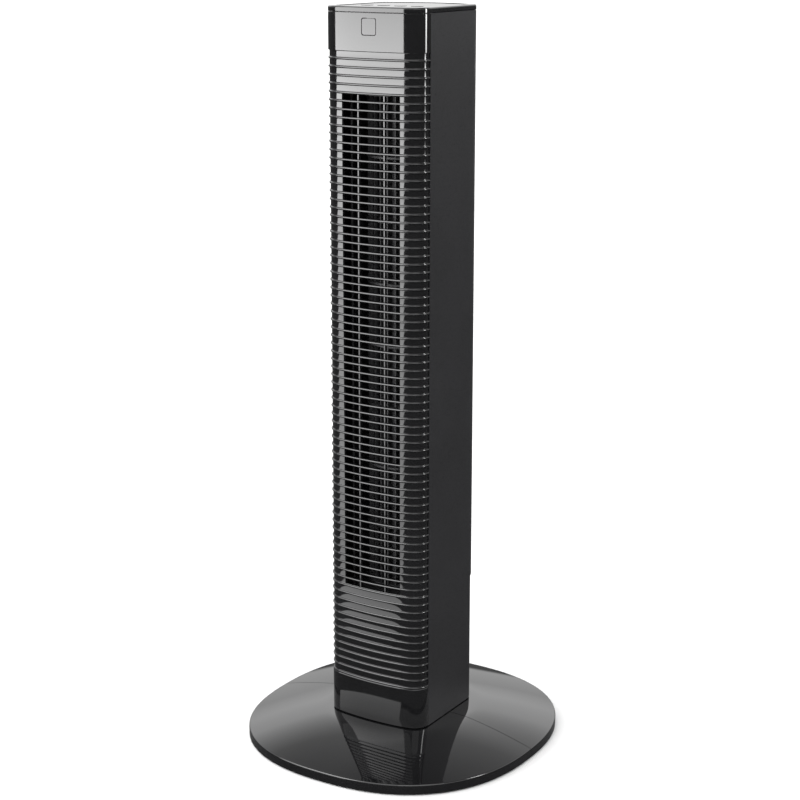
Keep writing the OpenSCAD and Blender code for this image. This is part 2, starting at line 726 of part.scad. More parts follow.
// Rim of the top, with a ledge for the control panel and a skirt that locates it in the casing.
module top_cap() color("#141416") {
    plan_ring(0, cap_rim, tower_h - cap_h, cap_h);
    plan_ring(cap_rim - 1, cap_rim + 4, tower_h - cap_h, cap_h - (tower_h - panel_z));
    plan_ring(deck_in, deck_in + 2, tower_h - cap_h - skirt_h, skirt_h + 1);
    for (p = board_corners) translate([p[0], p[1], board_z + board_t]) difference() {
        cylinder(r = 3.5, h = tower_h - cap_h + 1 - board_z - board_t);
        translate([0, 0, -1]) cylinder(r = screw_r, h = 8);
    }
}

module control_panel() color("#1a1a1c") difference() {
    translate([0, 0, panel_z]) linear_extrude(panel_t) polygon(tower_outline(cap_rim + 0.2));
    for (x = button_xs)
        translate([x, button_y, panel_z - 1]) cylinder(r = button_r + button_gap, h = panel_t + 2);
    for (x = button_xs)
        translate([x, lens_y, panel_z - 1]) cylinder(r = lens_r + 0.05, h = panel_t + 2);
}

// Push button: cap, retaining flange and stem.
module button(i) translate([button_xs[i], button_y, 0]) {
    under = panel_z - 1.6;
    stem_z = board_z + board_t + switch_h + button_travel;
    translate([0, 0, under]) cylinder(r = button_r, h = panel_t + 1.9);
    translate([0, 0, under]) cylinder(r = button_r + 1.2, h = 1.3);
    translate([0, 0, stem_z]) cylinder(r = 2, h = under + 0.1 - stem_z);
}

module power_button() color("#2e2f31") button(0);
module speed_button() color("#2e2f31") button(1);
module timer_button() color("#2e2f31") button(2);
module swing_button() color("#2e2f31") button(3);

module indicator_lenses() color("#cfd6da")
    for (x = button_xs)
        translate([x, lens_y, panel_z - 1.5]) cylinder(r = lens_r, h = panel_t + 1.5);

board_half = tower_w / 2 - 9.5;
board_front = -tower_d / 2 + 32.5;
board_depth = 45;
board_corners = [for (x = [-1, 1], y = [4, board_depth - 4]) [x * (board_half - 3), board_front + y]];

module control_board() color("#2c6b3f") difference() {
    translate([-board_half, board_front, board_z]) cube([2 * board_half, board_depth, board_t]);
    for (p = board_corners) translate([p[0], p[1], board_z - 1]) cylinder(r = screw_r + 0.2, h = 4);
}

module tact_switches() color("#3b3b3b")
    for (x = button_xs) translate([x, button_y, board_z + board_t]) {
        translate([-3, -3, 0]) cube([6, 6, switch_h - 1]);
        translate([0, 0, switch_h - 1.1]) cylinder(r = 1.7, h = 1.1);
    }

module board_screws() color("#9a9a9a")
    for (p = board_corners) translate([p[0], p[1], board_z]) rotate([180, 0, 0])
        screw(screw_r, board_t + 5, head_r, head_h);

module display_window() color([0.1, 0.1, 0.12, 0.7])
    translate([-window_side / 2, front_at(window_w / 2, 0), window_z - window_side / 2])
        cube([window_side, window_t, window_side]);

// Lamp block and small board behind the window, under the cap's skirt.
module display_module() color("#3b3b3b") {
    y = front_at(window_w / 2, 0) + window_t;
    z = window_z - module_side / 2;
    translate([-module_side / 2, y, z]) cube([module_side, 5, module_side]);
    translate([-module_side / 2 - 3, y + 5 - e, z - 3]) cube([module_side + 6, 1.6, module_side + 3]);
}

base_front();
base_rear();
rubber_feet();
swivel_seat();
seat_screws();
glide_ring();
pivot_washer();
pivot_screw();
bottom_cover();
crank();
oscillation_motor();
oscillation_bracket();
oscillation_screws();
front_panel();
panel_screws();
left_side_shell();
right_side_shell();
rear_grille();
rear_lower_cover();
rear_screws();
cord_inlet();
motor_deck();
motor_lower_shield();
motor_upper_shield();
motor_core();
motor_windings();
motor_bearings();
motor_grommets();
motor_screws();
rotor();
motor_shaft();
capacitor();
impeller();
impeller_coupling();
stub_shaft();
upper_frame();
upper_bearing();
bearing_rubber();
bearing_cap();
air_duct();
duct_tongue();
top_cap();
control_panel();
power_button();
speed_button();
timer_button();
swing_button();
indicator_lenses();
control_board();
tact_switches();
board_screws();
display_window();
display_module();
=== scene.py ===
"""Looks of a tower fan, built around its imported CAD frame.

Metres throughout. +Z is up and -Y is the front. Places come from the frame's own boxes.
"""
import math

import bmesh
import bpy
from mathutils import Matrix, Vector


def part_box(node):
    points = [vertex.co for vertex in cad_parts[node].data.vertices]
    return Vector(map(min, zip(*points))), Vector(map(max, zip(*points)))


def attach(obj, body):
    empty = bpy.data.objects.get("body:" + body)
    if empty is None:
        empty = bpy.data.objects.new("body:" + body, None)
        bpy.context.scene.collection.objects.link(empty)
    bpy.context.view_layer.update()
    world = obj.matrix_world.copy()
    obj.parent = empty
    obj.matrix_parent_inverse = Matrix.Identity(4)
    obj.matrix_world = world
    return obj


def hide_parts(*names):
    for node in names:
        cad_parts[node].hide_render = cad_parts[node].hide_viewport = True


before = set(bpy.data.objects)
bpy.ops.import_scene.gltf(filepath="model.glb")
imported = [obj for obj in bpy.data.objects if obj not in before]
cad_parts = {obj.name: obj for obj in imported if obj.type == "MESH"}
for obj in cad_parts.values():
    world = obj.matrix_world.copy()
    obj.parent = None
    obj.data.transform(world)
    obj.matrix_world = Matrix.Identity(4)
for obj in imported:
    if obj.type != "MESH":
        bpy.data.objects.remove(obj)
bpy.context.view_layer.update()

MM = 0.001

# ---------------------------------------------------------------- sizes, from the frame

cap_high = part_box("top_cap")[1]
panel_low, panel_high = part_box("front_panel")
control_low, control_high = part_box("control_panel")
window_low, window_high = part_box("display_window")
grille_low, grille_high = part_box("rear_grille")
cover_low, cover_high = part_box("rear_lower_cover")
dome_low, dome_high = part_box("base_front")
dome_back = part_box("base_rear")[1].y
seat_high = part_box("swivel_seat")[1]

TOWER_TOP = cap_high.z
TOWER_FOOT = panel_low.z
HALF_W = cap_high.x
HALF_D = cap_high.y
FRONT_R = 280 * MM          # bow of the front
CORNER_R = 18 * MM          # front corners
BACK_R = 110 * MM           # bow of the back
BACK_CORNER_R = 10 * MM     # back corners
FRONT_C = -HALF_D + FRONT_R
BACK_C = HALF_D - BACK_R

PANEL_TOP = panel_high.z
PANEL_IN = 3.9 * MM         # from the outline in to the front panel's inner face
RIB_PITCH = 8.5 * MM
RIB_HALF = 1.15 * MM
RIB_PROUD = 1.3 * MM
RIB_FOOT = 0.35 * MM        # height of the blend below and above a rib
RIB_NOSE = 72               # degrees that a rib's nose turns each way
RIB_COUNT = 79
FIRST_RIB = TOWER_TOP - 51.75 * MM
OPEN_FIRST, OPEN_LAST = 4, 66      # ribs that close the open grille above and below
OPEN_HALF = 35 * MM
BAR_X = 15.6 * MM
BAR_HALF = 1.2 * MM
SHELL_WALL = 2.6 * MM

BASE_POWER = 2.35
BASE_RIM = 11.5 * MM
BASE_CROWN = 23.5 * MM      # rise of the dome, if it had no flat land
LAND = dome_high.z          # the flat land under the tower
LAND_BLEND = 0.8 * MM
BASE_WALL = 3 * MM
BASE_EDGE = 1.5 * MM        # rounding of the rim
RIM_START = 9               # degrees of the dome's slope where that rounding starts
BASE_LIP = 0.6 * MM         # slope under the rim
BASE_SEAM = 0.7 * MM        # open joint between the halves
SEAM = 0.3 * MM             # open joint between the tower's outer pieces
WINDOW_GAP = 0.8 * MM
KEYS = ("power_button", "speed_button", "timer_button", "swing_button")
KEY_FLANGE = 1.2 * MM       # how far a key's flange stands out past its cap

# ---------------------------------------------------------------- camera

CAMERA_AZIMUTH = math.radians(32.3)
CAMERA_PITCH = math.radians(13.27)
CAMERA_DISTANCE = 1.872
CAMERA_HEIGHT = 0.8685
CAMERA_ASIDE = 0.0021       # step to the right, across the view
CAMERA_AIM_Y = -0.0109      # step to the front
LENS = 81.7
LENS_SHIFT = -0.057


def make_camera():
    across = Vector((math.cos(CAMERA_AZIMUTH), math.sin(CAMERA_AZIMUTH), 0))
    away = Vector((math.sin(CAMERA_AZIMUTH), -math.cos(CAMERA_AZIMUTH), 0))
    ahead = -away * math.cos(CAMERA_PITCH) - Vector((0, 0, math.sin(CAMERA_PITCH)))
    camera = bpy.data.objects.new("camera", bpy.data.cameras.new("camera"))
    bpy.context.scene.collection.objects.link(camera)
    camera.location = away * CAMERA_DISTANCE + across * CAMERA_ASIDE
    camera.location += Vector((0, CAMERA_AIM_Y, CAMERA_HEIGHT))
    camera.rotation_mode = "QUATERNION"
    camera.rotation_quaternion = ahead.to_track_quat("-Z", "Y")
    camera.data.lens = LENS
    camera.data.shift_y = LENS_SHIFT
    camera.data.clip_start = 0.05
    bpy.context.scene.camera = camera


make_camera()
bpy.context.scene.view_settings.view_transform = "Standard"

# ---------------------------------------------------------------- materials


def node_of(tree, kind, **inputs):
    node = tree.nodes.new(kind)
    for name, value in inputs.items():
        node.inputs[name.replace("_", " ")].default_value = value
    return node


def finish(name, colour, rough, metal=0.0, spread=0.25, patch=14.0, grain=900.0, bump=0.02,
           bump_depth=0.02, rough_spread=0.04, ior=1.5, brushed=None):
    """A procedural finish: colour that varies in soft patches, and fine grain in gloss and relief.

    patch and grain are cells per metre, bump_depth is in millimetres, and brushed stretches the
    grain along Z by that factor.
    """
    material = bpy.data.materials.new(name)
    material.use_nodes = True
    tree = material.node_tree
    shader = tree.nodes["Principled BSDF"]
    place = tree.nodes.new("ShaderNodeTexCoord")
    patches = node_of(tree, "ShaderNodeTexNoise", Scale=patch, Detail=4.0, Roughness=0.55)
    grains = node_of(tree, "ShaderNodeTexNoise", Scale=grain, Detail=3.0, Roughness=0.6)
    tree.links.new(place.outputs["Object"], patches.inputs["Vector"])
    if brushed:
        stretch = node_of(tree, "ShaderNodeMapping", Scale=(1.0, 1.0, brushed))
        tree.links.new(place.outputs["Object"], stretch.inputs["Vector"])
        tree.links.new(stretch.outputs["Vector"], grains.inputs["Vector"])
    else:
        tree.links.new(place.outputs["Object"], grains.inputs["Vector"])
    ramp = tree.nodes.new("ShaderNodeValToRGB")
    ramp.color_ramp.elements[0].position = 0.3
    ramp.color_ramp.elements[1].position = 0.7
    ramp.color_ramp.elements[0].color = (*[c * (1 - spread) for c in colour], 1)
    ramp.color_ramp.elements[1].color = (*[min(1, c * (1 + spread)) for c in colour], 1)
    tree.links.new(patches.outputs["Fac"], ramp.inputs["Fac"])
    tree.links.new(ramp.outputs["Color"], shader.inputs["Base Color"])
    span = node_of(tree, "ShaderNodeMapRange", From_Min=0.3, From_Max=0.7,
                   To_Min=max(0.0, rough - rough_spread), To_Max=min(1.0, rough + rough_spread))
    tree.links.new(grains.outputs["Fac"], span.inputs["Value"])
    tree.links.new(span.outputs["Result"], shader.inputs["Roughness"])
    relief = node_of(tree, "ShaderNodeBump", Strength=bump, Distance=bump_depth * MM)
    tree.links.new(grains.outputs["Fac"], relief.inputs["Height"])
    tree.links.new(relief.outputs["Normal"], shader.inputs["Normal"])
    shader.inputs["Metallic"].default_value = metal
    shader.inputs["IOR"].default_value = ior
    return material


def make_finishes():
    """One finish for each material slot of the record."""
    made = {
        "gloss_black": finish("gloss_black_finish", (0.006, 0.006, 0.0065), 0.035, grain=60,
                              bump=0.05, bump_depth=0.01, rough_spread=0.015, ior=1.52),
        "satin_side": finish("satin_side_finish", (0.013, 0.013, 0.0145), 0.3, grain=1400,
                             bump=0.12, bump_depth=0.03, spread=0.12),
        "satin_rear": finish("satin_rear_finish", (0.018, 0.018, 0.0195), 0.42, grain=1400,
                             bump=0.15, bump_depth=0.03, spread=0.12),
        "dark_plastic": finish("dark_plastic_finish", (0.03, 0.03, 0.032), 0.5, bump=0.2),
        "duct_plastic": finish("duct_plastic_finish", (0.012, 0.012, 0.013), 0.5, bump=0.2),
        "impeller_plastic": finish("impeller_finish", (0.032, 0.032, 0.034), 0.6, bump=0.15),
        "button_plastic": finish("button_finish", (0.0065, 0.0065, 0.007), 0.04, grain=60,
                                 bump=0.05, bump_depth=0.01, rough_spread=0.015, ior=1.52),
        "white_plastic": finish("white_plastic_finish", (0.72, 0.71, 0.66), 0.45, spread=0.06,
                                bump=0.15),
        "rubber": finish("rubber_finish", (0.022, 0.022, 0.022), 0.75, bump=0.4, grain=1600),
        "screw_steel": finish("screw_finish", (0.42, 0.42, 0.43), 0.3, metal=1, spread=0.12,
                              bump=0.1),
        "zinc_steel": finish("zinc_finish", (0.55, 0.56, 0.57), 0.38, metal=1, patch=160,
                             bump=0.1),
        "shaft_steel": finish("shaft_finish", (0.62, 0.62, 0.63), 0.2, metal=1, spread=0.06,
                              bump=0.1, brushed=0.05),
        "core_iron": finish("core_finish", (0.22, 0.215, 0.21), 0.45, metal=1, bump=0.3,
                            brushed=12.0),
        "rotor_metal": finish("rotor_finish", (0.5, 0.5, 0.51), 0.4, metal=1, bump=0.15),
        "copper_wire": finish("copper_finish", (0.62, 0.27, 0.11), 0.35, metal=1, bump=0.4,
                              brushed=6.0),
        "bronze": finish("bronze_finish", (0.45, 0.3, 0.13), 0.4, metal=1, bump=0.2),
        "circuit_board": finish("board_finish", (0.02, 0.13, 0.05), 0.35, patch=220, bump=0.1),
        "lens": finish("lens_finish", (0.6, 0.64, 0.66), 0.15, spread=0.05, bump=0.02),
        "smoked_window": finish("smoked_finish", (0.008, 0.008, 0.009), 0.03, grain=60,
                                bump=0.03, bump_depth=0.01, rough_spread=0.01, ior=1.52),
    }
    return made


FINISH = make_finishes()


def slot_of(node):
    """The slot of a CAD node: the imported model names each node's material after it."""
    names = [m.name.split(".")[0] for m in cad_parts[node].data.materials if m]
    return next((n for n in names if n in FINISH), "dark_plastic")


def dress_frame():
    for name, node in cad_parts.items():
        made = FINISH[slot_of(name)]
        for place in node.material_slots:
            place.material = made
        if not node.material_slots:
            node.data.materials.append(made)


# ---------------------------------------------------------------- mesh helpers

SHARP = math.radians(32)


def plain_object(name, bm, material):
    """Turns a bmesh into an object with one material."""
    mesh = bpy.data.meshes.new(name)
    bm.to_mesh(mesh)
    bm.free()
    made = bpy.data.objects.new(name, mesh)
    bpy.context.scene.collection.objects.link(made)
    mesh.materials.append(material)
    return made


def mesh_object(name, bm, slot):
    """Turns a bmesh into a shaded object with its slot's finish."""
    bmesh.ops.recalc_face_normals(bm, faces=bm.faces)
    made = plain_object(name, bm, FINISH[slot])
    shade(made.data)
    return made


def shade(mesh):
    """Smooth faces, with a crease where the surface turns sharply."""
    bm = bmesh.new()
    bm.from_mesh(mesh)
    for face in bm.faces:
        face.smooth = True
    for edge in bm.edges:
        edge.smooth = len(edge.link_faces) == 2 and edge.calc_face_angle(0) < SHARP
    bm.to_mesh(mesh)
    bm.free()


def settle(made):
    """Applies an object's modifiers to its mesh."""
    look = made.data.materials[0]
    graph = bpy.context.evaluated_depsgraph_get()
    mesh = bpy.data.meshes.new_from_object(made.evaluated_get(graph))
    made.modifiers.clear()
    made.data = mesh
    mesh.materials.clear()
    mesh.materials.append(look)
    shade(mesh)
    return made


def add_bevel(made, width, segments=2, angle=40):
    bevel = made.modifiers.new("bevel", "BEVEL")
    bevel.width = width
    bevel.segments = segments
    bevel.limit_method = "ANGLE"
    bevel.angle_limit = math.radians(angle)
    return made


def cut(made, cutter, operation="DIFFERENCE"):
    """Cuts one object with another, which is then deleted."""
    change = made.modifiers.new("cut", "BOOLEAN")
    change.object = cutter
    change.operation = operation
    change.solver = "EXACT"
    settle(made)
    bpy.data.objects.remove(cutter)
    return made


def join(pieces, name):
    """Joins objects into one piece."""
    bm = bmesh.new()
    for piece in pieces:
        bm.from_mesh(piece.data)
    look = pieces[0].data.materials[0]
    for piece in pieces:
        bpy.data.objects.remove(piece)
    made = plain_object(name, bm, look)
    shade(made.data)
    return made


def stand_for(piece, node, body):
    """Puts a built piece in the place of a CAD node, with flat faces shaded flat."""
    even = piece.modifiers.new("normals", "WEIGHTED_NORMAL")
    even.weight = 90
    even.keep_sharp = True
    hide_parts(node)
    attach(piece, body)


def skin(bm, rings, closed=False):
    """Faces between rings of equal length: a tube with its ends capped, or a closed loop."""
    count = len(rings[0])
    pairs = list(zip(rings, rings[1:])) + ([(rings[-1], rings[0])] if closed else [])
    for one, two in pairs:
        for i in range(count):
            j = (i + 1) % count
            bm.faces.new((one[i], one[j], two[j], two[i]))
    if not closed:
        bm.faces.new(rings[0])
        bm.faces.new(reversed(rings[-1]))


# A path is a list of (point on the outline, outward normal), both in plan.


def arc_path(centre, radius, start, stop, count):
    steps = [start + (stop - start) * i / count for i in range(count + 1)]
    return [(Vector(centre) + radius * Vector((math.cos(a), math.sin(a))),
             Vector((math.cos(a), math.sin(a)))) for a in steps]


def corner_of(radius, big):
    """A corner's centre, as distances from the middle and from the bow's centre, and its angle."""
    x = HALF_W - radius
    run = math.sqrt((big - radius) ** 2 - x ** 2)
    return x, run, math.atan2(x, run)


def front_path(corner_steps=14, bow_steps=26):
    x, run, a = corner_of(CORNER_R, FRONT_R)
    y = FRONT_C - run
    left = arc_path((-x, y), CORNER_R, math.pi, 1.5 * math.pi - a, corner_steps)
    bow = arc_path((0, FRONT_C), FRONT_R, 1.5 * math.pi - a, 1.5 * math.pi + a, bow_steps)
    right = arc_path((x, y), CORNER_R, 1.5 * math.pi + a, 2 * math.pi, corner_steps)
    return left + bow[1:] + right[1:]


def back_path(xs=(), corner_steps=8, bow_steps=28):
    """The back from the right wall to the left wall, with extra points at the given x."""
    x, run, a = corner_of(BACK_CORNER_R, BACK_R)
    y = BACK_C + run
    right = arc_path((x, y), BACK_CORNER_R, 0, 0.5 * math.pi - a, corner_steps)
    left = arc_path((-x, y), BACK_CORNER_R, 0.5 * math.pi + a, math.pi, corner_steps)
    steps = [-a + 2 * a * i / bow_steps for i in range(1, bow_steps)]
    marks = [math.asin(v / BACK_R) for v in xs]
    clear = [s for s in steps if all(abs(s - m) > 0.004 for m in marks)]
    bow = []
    for s in sorted(clear + marks, reverse=True):
        out = Vector((math.sin(s), math.cos(s)))
        bow.append((Vector((0, BACK_C)) + BACK_R * out, out))
    return right + bow + left


def on_front(x):
    out = Vector((x, -math.sqrt(FRONT_R ** 2 - x ** 2))) / FRONT_R
    return Vector((0, FRONT_C)) + FRONT_R * out, out


def clip(path, low, high):
    """The part of a front path between two x, with exact ends where the bow is cut."""
    inside = [p for p in path if low + 1e-5 < p[0].x < high - 1e-5]
    start = [on_front(low)] if low > path[0][0].x else []
    stop = [on_front(high)] if high < path[-1][0].x else []
    ends = ([] if start else [path[0]], [] if stop else [path[-1]])
    return start + [p for p in ends[0] if p not in inside] + inside + \
        [p for p in ends[1] if p not in inside] + stop


def sweep(name, path, profile, slot, closed=False):
    """Carries a closed profile of (inset, height) along a path."""
    bm = bmesh.new()
    rings = [[bm.verts.new((*(point - out * inset), z)) for inset, z in profile]
             for point, out in path]
    skin(bm, rings, closed)
    return mesh_object(name, bm, slot)


def grid_panel(name, path, heights, keep, thickness, inset, slot, bevel):
    """A curved wall on a path with openings: keep(x, z) says which cells are there."""
    bm = bmesh.new()
    columns = [[bm.verts.new((*(point - out * inset), z)) for z in heights]
               for point, out in path]
    for i in range(len(path) - 1):
        for k in range(len(heights) - 1):
            x = (path[i][0].x + path[i + 1][0].x) / 2
            if keep(x, (heights[k] + heights[k + 1]) / 2):
                bm.faces.new((columns[i][k], columns[i + 1][k],
                              columns[i + 1][k + 1], columns[i][k + 1]))
    loose = [v for v in bm.verts if not v.link_faces]
    bmesh.ops.delete(bm, geom=loose, context="VERTS")
    made = plain_object(name, bm, FINISH[slot])
    wall = made.modifiers.new("wall", "SOLIDIFY")
    wall.thickness = thickness
    wall.offset = -1
    wall.use_even_offset = True
    add_bevel(made, bevel)
    return settle(made)


def rounded_block(name, low, high, radius, slot, axis="Y", steps=5):
    """A block with four edges rounded, those along the given axis."""
    a, b = {"Y": (0, 2), "Z": (0, 1)}[axis]
    c = 3 - a - b
    centres = [(high[a] - radius, high[b] - radius, 0), (low[a] + radius, high[b] - radius, 90),
               (low[a] + radius, low[b] + radius, 180), (high[a] - radius, low[b] + radius, 270)]
    outline = []
    for u, v, turn in centres:
        for i in range(steps + 1):
            t = math.radians(turn + 90 * i / steps)
            outline.append((u + radius * math.cos(t), v + radius * math.sin(t)))
    bm = bmesh.new()
    rings = []
    for level in (low[c], high[c]):
        ring = []
        for u, v in outline:
            place = [0, 0, 0]
            place[a], place[b], place[c] = u, v, level
            ring.append(bm.verts.new(place))
        rings.append(ring)
    skin(bm, rings)
    return mesh_object(name, bm, slot)


def lathe(name, centre, profile, slot, steps=48):
    """A profile of (radius, height) turned round a vertical axis. It starts and ends on the axis."""
    bm = bmesh.new()
    rings = []
    for radius, z in profile:
        if radius < 1e-7:
            rings.append([bm.verts.new((centre[0], centre[1], z))])
            continue
        turns = [2 * math.pi * i / steps for i in range(steps)]
        rings.append([bm.verts.new((centre[0] + radius * math.cos(t),
                                    centre[1] + radius * math.sin(t), z)) for t in turns])
    for one, two in zip(rings, rings[1:]):
        for i in range(steps):
            j = (i + 1) % steps
            corners = [one[i % len(one)], one[j % len(one)], two[j % len(two)], two[i % len(two)]]
            corners = list(dict.fromkeys(corners))
            if len(corners) > 2:
                bm.faces.new(corners)
    return mesh_object(name, bm, slot)


# ---------------------------------------------------------------- front panel


def rib_front(z, steps=7):
    """The outer face of a rib on the wall, from its foot below to its foot above."""
    nose = []
    for i in range(steps + 1):
        t = math.radians(RIB_NOSE * (2 * i / steps - 1))
        nose.append((RIB_PROUD * (1 - math.cos(t)), z + RIB_HALF * math.sin(t)))
    foot = RIB_HALF + RIB_FOOT
    near = RIB_HALF + 0.04 * MM
    blend = RIB_PROUD - 0.16 * MM
    return [(RIB_PROUD, z - foot), (blend, z - near), *nose, (blend, z + near),
            (RIB_PROUD, z + foot)]


def rib_height(i):
    return FIRST_RIB - i * RIB_PITCH


def wall_profile(first, last, bottom, top, plain_top=False, plain_bottom=False):
    """A closed wall profile with ribs last to first, and plain bands at the outline."""
    step = 0.45 * MM
    outer = []
    if plain_bottom:
        edge = rib_height(last) - RIB_HALF
        outer += [(step, bottom), (0, bottom + step), (0, edge - 1.2 * MM)]
        outer += [(0.25 * MM, edge - 0.6 * MM), (RIB_PROUD * 0.3, edge - 0.35 * MM)]
        outer += rib_front(rib_height(last))[4:]
        last -= 1
    else:
        outer.append((RIB_PROUD, bottom))
    for i in range(last, first - 1, -1):
        outer += rib_front(rib_height(i))
    if plain_top:
        edge = FIRST_RIB + RIB_PITCH - RIB_HALF
        outer += [(RIB_PROUD, edge - 0.3 * MM), (RIB_PROUD - 0.15 * MM, edge)]
        outer += [(0.3 * MM, edge + 0.2 * MM), (0, edge + 0.6 * MM)]
        outer += [(0, top - step), (step, top)]
    else:
        outer.append((RIB_PROUD, top))
    clean = [outer[0]]
    for p in outer[1:]:
        if p[1] - clean[-1][1] > 1e-6:
            clean.append(p)
    return clean + [(PANEL_IN, top), (PANEL_IN, bottom)]


def bar_profile(z):
    """A free rib: round in front, flat above and below, with softened rear edges."""
    nose = []
    for i in range(9):
        t = math.radians(-90 + 180 * i / 8)
        nose.append((RIB_PROUD * (1 - math.cos(t)), z + RIB_HALF * math.sin(t)))
    back = PANEL_IN - 0.2 * MM
    soft = 0.35 * MM
    return nose + [(back - soft, z + RIB_HALF), (back, z + RIB_HALF - soft),
                   (back, z - RIB_HALF + soft), (back - soft, z - RIB_HALF)]


def make_front_panel():
    path = front_path()
    upper = rib_height(OPEN_FIRST) - RIB_HALF - RIB_FOOT
    lower = rib_height(OPEN_LAST) + RIB_HALF + RIB_FOOT
    top = sweep("panel_top", path, wall_profile(0, OPEN_FIRST, upper, PANEL_TOP, plain_top=True),
                "gloss_black")
    hole = rounded_block("hole", (window_low.x - WINDOW_GAP, -1, window_low.z - WINDOW_GAP),
                         (window_high.x + WINDOW_GAP, 0, window_high.z + WINDOW_GAP), 2.2 * MM,
                         "gloss_black")
    cut(top, hole)
    bottom = sweep("panel_foot", path,
                   wall_profile(OPEN_LAST, RIB_COUNT - 1, TOWER_FOOT, lower, plain_bottom=True),
                   "gloss_black")
    parts = [top, bottom]
    strip = wall_profile(OPEN_FIRST + 1, OPEN_LAST - 1, lower, upper)
    for low, high in ((-HALF_W, -OPEN_HALF), (OPEN_HALF, HALF_W)):
        parts.append(sweep("panel_strip", clip(path, low, high), strip, "gloss_black"))
    across = [on_front(OPEN_HALF * 1.008 * (i / 14 - 1)) for i in range(29)]
    for i in range(OPEN_FIRST + 1, OPEN_LAST):
        parts.append(sweep("panel_rib", across, bar_profile(rib_height(i)), "gloss_black"))
    for x in (-BAR_X, BAR_X):
        point, out = on_front(x)
        front = (point - out * (PANEL_IN - 0.5 * MM)).y
        bar = rounded_block("panel_bar", (x - BAR_HALF, front, lower - 1 * MM),
                            (x + BAR_HALF, front + 3.1 * MM, upper + 1 * MM), 0.7 * MM,
                            "gloss_black", axis="Z")
        parts.append(bar)
    panel = join(parts, "front_panel_moulding")
    stand_for(panel, "front_panel", "tower")


def make_window():
    span = (window_high.x - window_low.x) / 2
    path = [on_front(span * 1.2 * (i / 8 - 1)) for i in range(17)]
    face, back = 0.1 * MM, 2.1 * MM
    low, high = window_low.z - 2 * MM, window_high.z + 2 * MM
    sheet = [(face, low), (face, high), (back, high), (back, low)]
    pane = sweep("window_pane", path, sheet, "smoked_window")
    shape = rounded_block("pane_shape", (window_low.x, -1, window_low.z),
                          (window_high.x, 0, window_high.z), 1.9 * MM, "smoked_window")
    cut(pane, shape, "INTERSECT")
    pane = settle(add_bevel(pane, 0.12 * MM, angle=50))
    stand_for(pane, "display_window", "tower")


# ---------------------------------------------------------------- top


def make_top_cap():
    low = PANEL_TOP + SEAM
    top = TOWER_TOP
    edge = 1.6 * MM
    angles = [math.pi / 2 * i / 5 for i in range(6)]
    turn = [(edge * (1 - math.cos(t)), top - edge * (1 - math.sin(t))) for t in angles]
    rim = 8 * MM
    step = 0.4 * MM
    skirt_low = low - 6.9 * MM
    profile = [(step, low), (0, low + step), *turn, (rim - 0.3 * MM, top), (rim, top - 0.3 * MM),
               (rim, control_low.z), (rim + 1.6 * MM, control_low.z), (rim + 1.6 * MM, low),
               (6.4 * MM, low), (6.4 * MM, skirt_low), (4.4 * MM, skirt_low), (4.4 * MM, low)]
    outline = front_path() + back_path()
    cap = sweep("top_cap_rim", outline, profile, "gloss_black", closed=True)
    stand_for(cap, "top_cap", "tower")


def make_control_panel():
    """The flat key panel, drawn as an outline with a hole for each key and each lens."""
    inset = 8.2 * MM
    low, high = control_low.z, control_high.z
    bevel = 0.25 * MM
    bm = bmesh.new()
    levels = [(low, 0), (high - bevel, 0), (high, bevel)]
    rings = [[bm.verts.new((*(p - out * (inset + d)), z)) for p, out in front_path() + back_path()]
             for z, d in levels]
    skin(bm, rings)
    panel = mesh_object("key_panel", bm, "gloss_black")

    def drill(name, centre, radius, steps):
        under, over = low - 1 * MM, high + 1 * MM
        rod = [(0, under), (radius, under), (radius, over), (0, over)]
        cut(panel, lathe(name, centre, rod, "gloss_black", steps))

    for key in KEYS:
        drill("key_hole", button_centre(key), button_radius(key) + 0.25 * MM, 48)
    lens_low, lens_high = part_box("indicator_lenses")
    lens_y = (lens_low.y + lens_high.y) / 2
    for key in KEYS:
        drill("lens_hole", (button_centre(key)[0], lens_y), 1.2 * MM, 24)
    stand_for(panel, "control_panel", "tower")


def button_centre(name):
    low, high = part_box(name)
    return (low.x + high.x) / 2, (low.y + high.y) / 2


def button_radius(name):
    """The radius of a key's cap. The key's box is as wide as the flange below it."""
    low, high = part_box(name)
    return (high.x - low.x) / 2 - KEY_FLANGE


def make_button(name):
    """A flat key with a rounded edge, a retaining flange and a stem."""
    low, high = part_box(name)
    radius = button_radius(name)
    under = control_low.z - 1.6 * MM
    edge = 0.3 * MM
    angles = [math.pi / 2 * i / 4 for i in range(5)]
    turn = [(radius - edge + edge * math.sin(t), high.z - edge + edge * math.cos(t))
            for t in angles]
    flange, flange_top, stem = radius + KEY_FLANGE, under + 1.3 * MM, 2 * MM
    profile = [(0, high.z)] + turn + [(radius, flange_top), (flange, flange_top)]
    profile += [(flange, under), (stem, under), (stem, low.z), (0, low.z)]
    key = lathe(name + "_key", button_centre(name), profile, "button_plastic")
    stand_for(key, name, name + "_body")


# ---------------------------------------------------------------- back

SCREW_X = 34 * MM
SCREW_HEAD = 3.4 * MM       # radius of a screw's head
SCREW_DIMPLE = 3.8 * MM     # radius of the hollow round it
SCREW_RISE = 5 * MM         # the lower cover's upper screws, above the motor deck's lowest point
PAST_BACK = HALF_D + 5 * MM


def on_back(x, inset):
    return BACK_C + math.sqrt((BACK_R - inset) ** 2 - x ** 2)


def back_drill(places, radius, depth_low, depth_high):
    """Cylinders along Y through the back at (x, z) places, from one y to another."""
    bm = bmesh.new()
    for x, z in places:
        turn = Matrix.Translation((x, (depth_low + depth_high) / 2, z)) @ \
            Matrix.Rotation(math.pi / 2, 4, "X")
        bmesh.ops.create_cone(bm, cap_ends=True, segments=32, radius1=radius, radius2=radius,
                              depth=depth_high - depth_low, matrix=turn)
    return mesh_object("back_drill", bm, "satin_rear")


